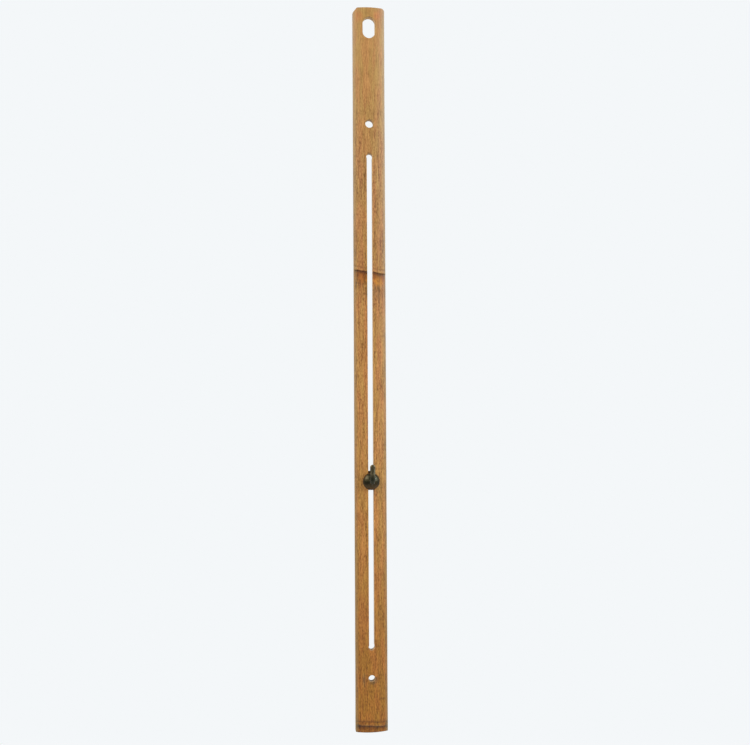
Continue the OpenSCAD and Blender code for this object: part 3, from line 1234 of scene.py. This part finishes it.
@dataclass(frozen=True)
class FiledSteelFinish:
    """Dull steel with file strokes along Z and a little brown in the low places.

    Attributes:
        name: The material's name.
        bright: Colour of the filed metal.
        brown: Colour of the tarnish.
    """

    name: str
    bright: Colour
    brown: Colour

    def material(self) -> Material:
        """Builds the material."""
        surface = Surface(self.name, {"Metallic": 0.9})
        place = surface.millimetres()
        x, y, z = surface.split(place)
        strokes = surface.noise(surface.join(x * 7.0, y * 7.0, z * 0.5), detail=3.0)
        cloud = surface.noise(place, 0.45, 4.0)
        colour = surface.mix(cloud.step(0.42, 0.68), self.bright, self.brown)
        colour = surface.mix(strokes.step(0.55, 0.3) * 0.4, colour, self.brown)
        roughness = 0.3 + strokes * 0.18 + cloud * 0.16
        return surface.finish(colour, roughness, strokes, 0.03 * MM)


@dataclass(frozen=True)
class LeatherFinish:
    """Vegetable-tanned leather with darker pores and clouds.

    Attributes:
        face: Colour of the grain side.
        crease: Colour of the pores and creases.
    """

    face: Colour
    crease: Colour

    def material(self) -> Material:
        """Builds the material."""
        surface = Surface("washer_leather", {})
        place = surface.millimetres()
        pores = surface.cells(place, 3.2)
        cloud = surface.noise(place, 0.7, 3.0)
        colour = surface.mix(pores.step(0.2, 0.55), self.face, self.crease)
        colour = surface.mix(cloud.step(0.45, 0.7) * 0.5, colour, self.crease)
        return surface.finish(colour, 0.55 + cloud * 0.25, 1.0 - pores, 0.06 * MM)


def set_wear_and_reflection(piece: Object, wear_and_reflection: Callable[[Vector], float]) -> None:
    """Writes each point's wear_and_reflection share: polish on the hook, painted reflection on the boss.

    Args:
        piece: The piece.
        wear_and_reflection: Gives the share, from 0 to 1, at a point.
    """
    mesh = piece.data
    shares = mesh.attributes.new("wear_and_reflection", "FLOAT", "POINT")
    shares.data.foreach_set("value", [wear_and_reflection(vertex.co) for vertex in mesh.vertices])


@dataclass
class HookClamp:
    """The sliding fitting: hook, domed boss, leather washer, and the runner behind.

    Attributes:
        boss_low: The CAD boss's lowest corner.
        boss_high: Its highest corner.
        hook_low: The CAD hook's lowest corner.
        hook_high: Its highest corner.
        slat: The slat that the fitting slides on.
    """

    boss_low: Vector
    boss_high: Vector
    hook_low: Vector
    hook_high: Vector
    slat: BambooSlat
    shank_radius: float = 1.75 * MM
    bar_radius: float = 2.45 * MM
    bend_radius: float = 4.2 * MM
    tip_width: float = 5.3 * MM
    tip_thickness: float = 2.6 * MM
    tip_height: float = 18 * MM
    thread_pitch: float = 0.6 * MM
    thread_depth: float = 0.28 * MM
    peen_radius: float = 2.25 * MM
    peen_height: float = 0.2 * MM
    boss_rim: float = 1.1 * MM
    boss_seat: float = 1.3 * MM
    washer_radius: float = 7 * MM
    washer_recess: float = 0.4 * MM
    washer_gap: float = 0.2 * MM
    press_gap: float = 0.03 * MM
    beat_depth: float = 0.05 * MM
    slide_gap: float = 0.15 * MM
    rivet_radius: float = 0.8 * MM
    rivet_head_radius: float = 1.3 * MM
    rivet_offset: float = 5.2 * MM
    axis_z: float = field(init=False)
    upright_y: float = field(init=False)
    shoulder_y: float = field(init=False)

    def __post_init__(self) -> None:
        """Works out the shank's axis and the hook's upright from the boxes."""
        self.axis_z = (self.boss_low.z + self.boss_high.z) / 2
        self.upright_y = self.hook_low.y + self.bar_radius
        self.shoulder_y = self.boss_high.y - self.washer_recess - self.boss_seat

    def boss_profile(self) -> Outline:
        """Returns the boss's outline, as radius and Y: dome, rim, washer recess and bore."""
        radius, front, rear = self.boss_high.x, self.boss_low.y, self.boss_high.y
        shoulder = rear - self.boss_rim
        cap = shoulder - front
        dome = (radius ** 2 + cap ** 2) / (2 * cap)
        bore, hole = self.bar_radius + self.press_gap, self.shank_radius + self.press_gap
        recess, floor = self.washer_radius + self.washer_gap, rear - self.washer_recess
        profile = [(bore, front + 0.2 * MM), (bore + 0.12 * MM, front + 0.08 * MM)]
        for r in np.linspace(bore + 0.4 * MM, radius - 0.45 * MM, 34):
            profile.append((float(r), front + dome - math.sqrt(dome ** 2 - r ** 2)))
        profile += [(radius - 0.12 * MM, shoulder + 0.02 * MM), (radius, shoulder + 0.2 * MM),
                    (radius, rear - 0.25 * MM), (radius - 0.08 * MM, rear - 0.08 * MM),
                    (radius - 0.25 * MM, rear), (recess, rear), (recess, floor), (hole, floor),
                    (hole, self.shoulder_y), (bore, self.shoulder_y)]
        return profile

    def beaten(self, place: Vector) -> float:
        """Returns how far the hammer has sunk the dome at a point."""
        hammer, grit = 1.9 * MM, 0.8 * MM
        return self.beat_depth * (noise.noise(place / hammer) * 0.7 + noise.noise(place / grit) * 0.3 + 0.6)

    def build_boss(self) -> None:
        """Builds the domed boss: a hammered dome over a rounded rim, hollowed behind."""
        rings = turned(self.boss_profile(), self.axis_z, 120)
        for ring in rings:
            for point in ring:
                if point[1] < self.boss_high.y - self.boss_rim:
                    point[1] += self.beaten(Vector(point))
        boss = new_piece("domed_boss_iron", turned_mesh(rings), BOSS_IRON.material(), 50)
        set_wear_and_reflection(boss, lambda co: self.boss_reflection_and_tint(co, self.boss_high.x))
        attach(boss, "hook")
        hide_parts("domed_boss")

    def boss_reflection_and_tint(self, co: Vector, radius: float) -> float:
        """Works out where the boss is browned: a painted reflection of the bamboo along its rim, and a
        browner tint over its lower half.

        Args:
            co: A point of the piece.
            radius: The boss's radius.

        Returns:
            The share, from 0 to 1.
        """
        away = math.hypot(co.x, co.z - self.axis_z)
        # Painted reflection: the bamboo's brown, seen along the rim; below it, a browner tint over the lower
        # half.
        rim = max(0.0, 1 - abs(away - radius + 0.2 * MM) / (0.8 * MM)) * 0.7
        below = max(0.0, (self.axis_z - co.z) / radius) * 0.5
        return max(rim, below)

    def build_hook(self) -> None:
        """Builds the hook: threaded shank, bar, bend and flattened upright, swept along its path."""
        material = HOOK_IRON.material()
        made = bmesh.new()
        for mesh in (self.bar(material), self.thread(material), self.shank_end()):
            made.from_mesh(mesh)
        joined = bpy.data.meshes.new("hook")
        bmesh.ops.recalc_face_normals(made, faces=made.faces)
        made.to_mesh(joined)
        made.free()
        hook = new_piece("hook_forged", joined, material, 40)
        set_wear_and_reflection(hook, self.hook_wear)
        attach(hook, "hook")
        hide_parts("hook")

    def hook_wear(self, co: Vector) -> float:
        """Works out the wear of the hook, at its tip and in the bend where a loop hangs.

        Args:
            co: A point of the piece.

        Returns:
            The wear, from 0 to 1.
        """
        up = (co.z - self.axis_z) / self.tip_height
        tip = float(np.interp(up, [0.25, 0.5, 0.75, 1.0], [0.0, 0.25, 0.3, 0.6]))
        corner = Vector((0.0, self.upright_y + self.bend_radius, self.axis_z + self.bend_radius))
        saddle = max(0.0, 1 - (co - corner).length / (0.9 * self.bend_radius))
        return max(tip, saddle * 0.45)

    def bar(self, material: Material) -> Mesh:
        """Sweeps the bar from the boss round the bend to the tip with Geometry Nodes.

        Args:
            material: The hook's finish.

        Returns:
            The bar.
        """
        path = bpy.data.meshes.new("bar_path")
        path.from_pydata([(0, self.shoulder_y, self.axis_z), (0, self.upright_y, self.axis_z),
                          (0, self.upright_y, self.axis_z + self.tip_height)], [(0, 1), (1, 2)], [])
        tree = GeometryTree("forged_bar")
        radius = tree.size("Bar Radius", self.bar_radius)
        bend = tree.size("Bend Radius", self.bend_radius)
        wide = tree.size("Tip Width Share", self.tip_width / (2 * self.bar_radius))
        thin = tree.size("Tip Thickness Share", self.tip_thickness / (2 * self.bar_radius))
        tip_round = tree.size("Tip Rounding", self.tip_width / 2)
        upright_y = tree.size("Upright Y", self.upright_y)
        axis_z = tree.size("Axis Z", self.axis_z)
        height = tree.size("Tip Height", self.tip_height)
        sides = tree.size("Sides", 40)
        step = tree.size("Ring Step", 0.22 * MM)
        finish = tree.size("Material", material)
        curve = tree.out("GeometryNodeMeshToCurve", {"Mesh": tree.base()})
        curve = tree.out("GeometryNodeFilletCurve", {"Curve": curve, "Count": 24, "Radius": bend},
                         mode="POLY")
        curve = tree.out("GeometryNodeResampleCurve", {"Curve": curve, "Length": step}, mode="LENGTH")
        length = tree.out("GeometryNodeCurveLength", {"Curve": curve})
        to_tip = length - tree.out("GeometryNodeSplineParameter", output="Length")
        into_tip = tree.math("MAXIMUM", (tip_round - to_tip) / tip_round, 0.0)
        into_tip = tree.math("MINIMUM", into_tip, 0.995)
        closing = tree.math("SQRT", 1.0 - into_tip * into_tip)
        profile = tree.out("GeometryNodeCurvePrimitiveCircle", {"Resolution": sides, "Radius": radius})
        swept = tree.out("GeometryNodeCurveToMesh", {"Curve": curve, "Profile Curve": profile,
                                                     "Scale": closing, "Fill Caps": True})
        place = tree.out("GeometryNodeInputPosition")
        x, y, z = tree.split(place)
        flat = ((z - axis_z) / height).step(0.3, 0.8)
        x = x * (flat * (wide - 1.0) + 1.0)
        y = (y - upright_y) * (flat * (thin - 1.0) + 1.0) + upright_y
        shaped = tree.out("GeometryNodeSetPosition", {"Geometry": swept, "Position": tree.join(x, y, z)})
        beats = (tree.noise(place, 420.0, 2.0) - 0.5) * (0.16 * MM)
        normal = tree.out("GeometryNodeInputNormal")
        push = tree.out("ShaderNodeVectorMath", {0: normal, 3: beats}, operation="SCALE")
        shaped = tree.out("GeometryNodeSetPosition", {"Geometry": shaped, "Offset": push})
        return tree.run(shaped, finish, helper(path, "bar_path"))

    def thread(self, material: Material) -> Mesh:
        """Cuts the shank's thread with Geometry Nodes: a cylinder whose radius follows a helix.

        Args:
            material: The hook's finish.

        Returns:
            The threaded shank.
        """
        start = self.shoulder_y - 0.4 * MM
        stop = self.hook_high.y - self.peen_height - 0.3 * MM
        tree = GeometryTree("shank_thread")
        crest = tree.size("Crest Radius", self.shank_radius)
        depth = tree.size("Thread Depth", self.thread_depth)
        pitch = tree.size("Pitch", self.thread_pitch)
        length = tree.size("Length", stop - start)
        middle = tree.size("Middle Y", (start + stop) / 2)
        axis_z = tree.size("Axis Z", self.axis_z)
        sides = tree.size("Sides", 48)
        rings = tree.size("Rings", 8 * round((stop - start) / self.thread_pitch))
        finish = tree.size("Material", material)
        rod = tree.out("GeometryNodeMeshCylinder", {"Vertices": sides, "Side Segments": rings, "Radius": 1.0,
                                                    "Depth": length}, "Mesh")
        x, y, z = tree.split(tree.out("GeometryNodeInputPosition"))
        turn = tree.math("ARCTAN2", y, x) / (2 * math.pi)
        # The whole turns that are added keep the phase above nought along the whole shank.
        phase = tree.math("FRACT", z / pitch + turn + 100.0)
        radius = crest - depth * abs(phase * 2.0 - 1.0)
        place = tree.join(x * radius, z + middle, y * radius + axis_z)
        cut = tree.out("GeometryNodeSetPosition", {"Geometry": rod, "Position": place})
        return tree.run(cut, finish, helper(bpy.data.meshes.new("thread"), "thread_base"))

    def shank_end(self) -> Mesh:
        """Builds the shank's riveted end, a low hammered button."""
        rear = self.hook_high.y
        front = rear - self.peen_height
        neck, buried, lip = self.shank_radius - 0.1 * MM, 0.5 * MM, 0.06 * MM
        profile = [(0.0, front - buried), (neck, front - buried), (neck, front),
                   (self.peen_radius - lip, front), (self.peen_radius, front + lip)]
        for share in np.linspace(0.95, 0.0, 10):
            profile.append((self.peen_radius * float(share), rear - 0.12 * MM * float(share) ** 2))
        return turned_mesh(turned(profile, self.axis_z, 40), closed=False)

    def build_washer(self) -> None:
        """Builds the leather washer: flat in front, saddled to the slat's round face behind."""
        front = self.boss_high.y - self.washer_recess + 0.05 * MM
        face = self.slat.culm_radius + self.slide_gap
        hole, rim = self.shank_radius + 0.25 * MM, self.washer_radius
        # Radius, and share of the way from the front to the saddle behind.
        stations = [(hole, 1.0), (hole, 0.0), (hole + 0.1 * MM, 0.0)]
        stations += [(float(r), 0.0) for r in np.linspace(hole + 0.8 * MM, rim - 0.3 * MM, 8)]
        stations += [(rim - 0.08 * MM, 0.06), (rim, 0.25), (rim, 0.8), (rim - 0.06 * MM, 0.95)]
        stations += [(float(r), 1.0) for r in np.linspace(rim - 0.3 * MM, hole + 0.4 * MM, 9)]
        rings = turned(stations, self.axis_z, 96)
        behind = self.slat.axis_y - np.sqrt(face ** 2 - rings[..., 0] ** 2)
        rings[..., 1] = front + rings[..., 1] * (behind - front)
        washer = new_piece("leather_washer_saddled", turned_mesh(rings), LEATHER.material(), 50)
        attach(washer, "washers")
        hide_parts("leather_washer")

    def build_rivets(self, plate_rear: float, runner_front: float) -> None:
        """Builds the two rivets with Geometry Nodes, one on each side of the shank.

        Args:
            plate_rear: Y of the plate's back.
            runner_front: Y of the runner's front.
        """
        material = RIVET_STEEL.material()
        head, proud = self.rivet_head_radius, 0.08 * MM
        sink = head - self.rivet_radius
        dome = [(share, proud * (1 - share * share)) for share in (0.3, 0.55, 0.78, 0.93, 1.0)]
        profile = [(0.0, runner_front - proud)]
        profile += [(head * share, runner_front - rise) for share, rise in dome]
        profile += [(self.rivet_radius, runner_front + sink), (self.rivet_radius, plate_rear - sink)]
        profile += [(head * share, plate_rear + rise) for share, rise in reversed(dome)]
        profile += [(0.0, plate_rear + proud)]
        rivet = helper(turned_mesh(turned(profile, 0.0, 40), closed=False), "rivet")
        tree = GeometryTree("rivet_row")
        offset = tree.size("Rivet Offset", self.rivet_offset)
        axis_z = tree.size("Axis Z", self.axis_z)
        count = tree.size("Rivets", 2)
        finish = tree.size("Material", material)
        row = tree.out("GeometryNodeMeshLine", {"Count": count,
                                                "Start Location": tree.join(0.0, 0.0, axis_z - offset),
                                                "Offset": tree.join(0.0, 0.0, offset * 2.0)})
        placed = tree.out("GeometryNodeInstanceOnPoints", {"Points": row, "Instance": tree.base()})
        rivets = new_piece("plate_rivets_set", tree.run(placed, finish, rivet), material, 40)
        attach(rivets, "runner")
        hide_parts("plate_rivets")

    def build_filed(self, node: str, name: str, body: str, eased: float) -> None:
        """Builds a filed copy of a CAD node, with its edges eased.

        Args:
            node: The CAD node.
            name: The new piece's name.
            body: The body that it rides on.
            eased: Width of the eased edges.
        """
        seam, flat_angle, edge_angle = 0.001 * MM, math.radians(2), math.radians(35)
        made = bmesh.new()
        made.from_mesh(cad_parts[node].data)
        bmesh.ops.remove_doubles(made, verts=made.verts, dist=seam)
        bmesh.ops.dissolve_limit(made, angle_limit=flat_angle, verts=made.verts, edges=made.edges)
        edges = [e for e in made.edges if e.is_manifold and e.calc_face_angle(0.0) > edge_angle]
        bmesh.ops.bevel(made, geom=edges, offset=eased, segments=2, profile=0.5, affect="EDGES",
                        clamp_overlap=True)
        piece = new_piece(name, settled(made), CLAMP_STEEL.material(), 35)
        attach(piece, body)
        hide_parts(node)


# On the boss the third colour is a painted reflection of the bamboo on its rim, and a browner tint over its
# lower half.
BOSS_IRON = IronFinish("boss_iron", srgb(26, 30, 10), srgb(50, 46, 24), srgb(118, 74, 32), 0.39)
HOOK_IRON = IronFinish("hook_iron", srgb(34, 37, 20), srgb(52, 50, 32), srgb(140, 126, 96), 0.42)
CLAMP_STEEL = FiledSteelFinish("clamp_steel", srgb(108, 102, 94), srgb(78, 62, 46))
RIVET_STEEL = FiledSteelFinish("rivet_steel", srgb(150, 146, 140), srgb(104, 92, 76))
LEATHER = LeatherFinish(srgb(92, 56, 32), srgb(48, 28, 16))
WHITE = srgb(255, 255, 255)


# ---------------------------------------------------------------------------------------------
# Studio


@dataclass
class Studio:
    """The pale floor, the soft lights and the camera at the photograph's viewing angle.

    Attributes:
        low: The part's lowest corner.
        high: Its highest corner.
        picture: Width and height of the picture, in pixels.
        rod_height: Height of the rod in the picture, in pixels.
        rod_centre: The rod's middle in the picture, in pixels.
        azimuth: How far the camera stands to the left, in degrees.
        roll: How far it leans, in degrees.
    """

    low: Vector
    high: Vector
    picture: tuple[int, int] = (750, 745)
    azimuth: float = -6.5
    distance: float = 0.95
    roll: float = 0.28
    rod_height: float = 725.5
    rod_centre: tuple[float, float] = (370.6, 369.9)
    floor_drop: float = 0.55
    floor_radius: float = 1.2
    backdrop: Colour = srgb(244, 247, 249)
    fill_before: float = 0.34
    fill_behind: float = 0.85

    def build_camera(self) -> None:
        """Places the camera so that the rod fills the picture as in the photograph."""
        width, height = self.picture
        length = self.high.z - self.low.z
        data = bpy.data.cameras.new("camera")
        data.sensor_width = 36.0
        data.lens = data.sensor_width * self.rod_height * self.distance / (length * width)
        data.clip_start, data.clip_end = 0.01, 50.0
        middle = Vector((0.0, self.low.y, (self.low.z + self.high.z) / 2))
        angle = math.radians(self.azimuth)
        back = Vector((math.sin(angle), -math.cos(angle), 0.0))
        right = Vector((math.cos(angle), math.sin(angle), 0.0))
        pixel = length / self.rod_height
        aim = middle + right * (width / 2 - self.rod_centre[0]) * pixel
        aim += Vector((0, 0, self.rod_centre[1] - height / 2)) * pixel
        camera = bpy.data.objects.new("camera", data)
        camera.location = aim + back * self.distance
        camera.rotation_euler = (-back).to_track_quat("-Z", "Y").to_euler()
        camera.rotation_euler.rotate_axis("Z", math.radians(-self.roll))
        bpy.context.scene.collection.objects.link(camera)
        bpy.context.scene.camera = camera

    def build_light(self, name: str, direction: tuple[float, float, float], reach: float,
                    size: tuple[float, float], watts: float, tint: Colour = WHITE) -> None:
        """Hangs a soft box that faces the rod's middle.

        Args:
            name: The lamp's name.
            direction: From the rod's middle to the lamp.
            reach: The lamp's distance.
            size: Its width and height.
            watts: Its power.
            tint: Its colour.
        """
        data = bpy.data.lights.new(name, "AREA")
        data.shape, data.energy = "RECTANGLE", watts
        data.size, data.size_y = size
        data.color = tint[:3]
        towards = Vector(direction).normalized()
        lamp = bpy.data.objects.new(name, data)
        lamp.visible_camera = False
        lamp.location = (self.low + self.high) / 2 + towards * reach
        lamp.rotation_euler = towards.to_track_quat("Z", "Y").to_euler()
        bpy.context.scene.collection.objects.link(lamp)

    def build(self) -> None:
        """Builds the floor, the sky, the lamps and the camera."""
        floor_z = self.low.z - self.floor_drop
        rim = arc((0.0, 0.0), self.floor_radius, 0, 357, 119)
        mesh = bpy.data.meshes.new("floor")
        mesh.from_pydata([(x, y, floor_z) for x, y in rim], [], [range(len(rim))])
        surface = Surface("pale_floor", {})
        tone = surface.noise(surface.place, 2.0, 2.0)
        colour = surface.mix(tone, srgb(214, 217, 219), srgb(219, 222, 224))
        mesh.materials.append(surface.finish(colour, 0.9, tone, 0.1 * MM))
        floor = bpy.data.objects.new("floor", mesh)
        bpy.context.scene.collection.objects.link(floor)
        self.build_world()
        bpy.context.scene.view_settings.view_transform = "Standard"
        self.build_light("right_window", (0.80, -0.44, 0.40), 2.2, (0.45, 1.6), 48.0)
        self.build_light("left_window", (-0.68, -0.44, 0.54), 2.3, (1.1, 1.5), 54.0, srgb(255, 242, 222))
        self.build_light("low_bounce", (0.10, -0.50, -0.85), 1.8, (1.4, 1.0), 18.0)
        self.build_camera()

    def build_world(self) -> None:
        """Makes the backdrop pale and the room before the rod dim, so that glossy metal stays dark."""
        world = bpy.data.worlds.new("studio")
        world.use_nodes = True
        sky = Tree(world.node_tree)
        background = world.node_tree.nodes["Background"]
        seen = sky.out("ShaderNodeLightPath", output="Is Camera Ray")
        _, y, _ = sky.split(sky.out("ShaderNodeTexCoord", output="Generated"))
        lit = self.fill_before + y.step(-0.5, 0.5) * (self.fill_behind - self.fill_before)
        sky.put(background.inputs["Color"], self.backdrop)
        sky.put(background.inputs["Strength"], sky.math("MAXIMUM", seen, lit))
        bpy.context.scene.world = world


def main() -> None:
    """Builds the studio, the slat and the sliding hook, in that order."""
    logging.basicConfig(level=logging.INFO, format="%(message)s")
    low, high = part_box("bamboo_slat")
    slat = BambooSlat(Vector(low), Vector(high))
    Studio(slat.low, slat.high).build()
    slat.build()
    clamp = HookClamp(*map(Vector, (*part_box("domed_boss"), *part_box("hook"))), slat)
    clamp.build_boss()
    clamp.build_hook()
    clamp.build_washer()
    clamp.build_rivets(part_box("rear_plate")[1][1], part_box("runner_nut")[0][1])
    clamp.build_filed("rear_plate", "rear_plate_filed", "runner", 0.12 * MM)
    clamp.build_filed("runner_nut", "runner_nut_filed", "runner", 0.1 * MM)
    clamp.build_filed("retaining_ring", "retaining_ring_filed", "washers", 0.06 * MM)


if __name__ == "__main__":
    main()
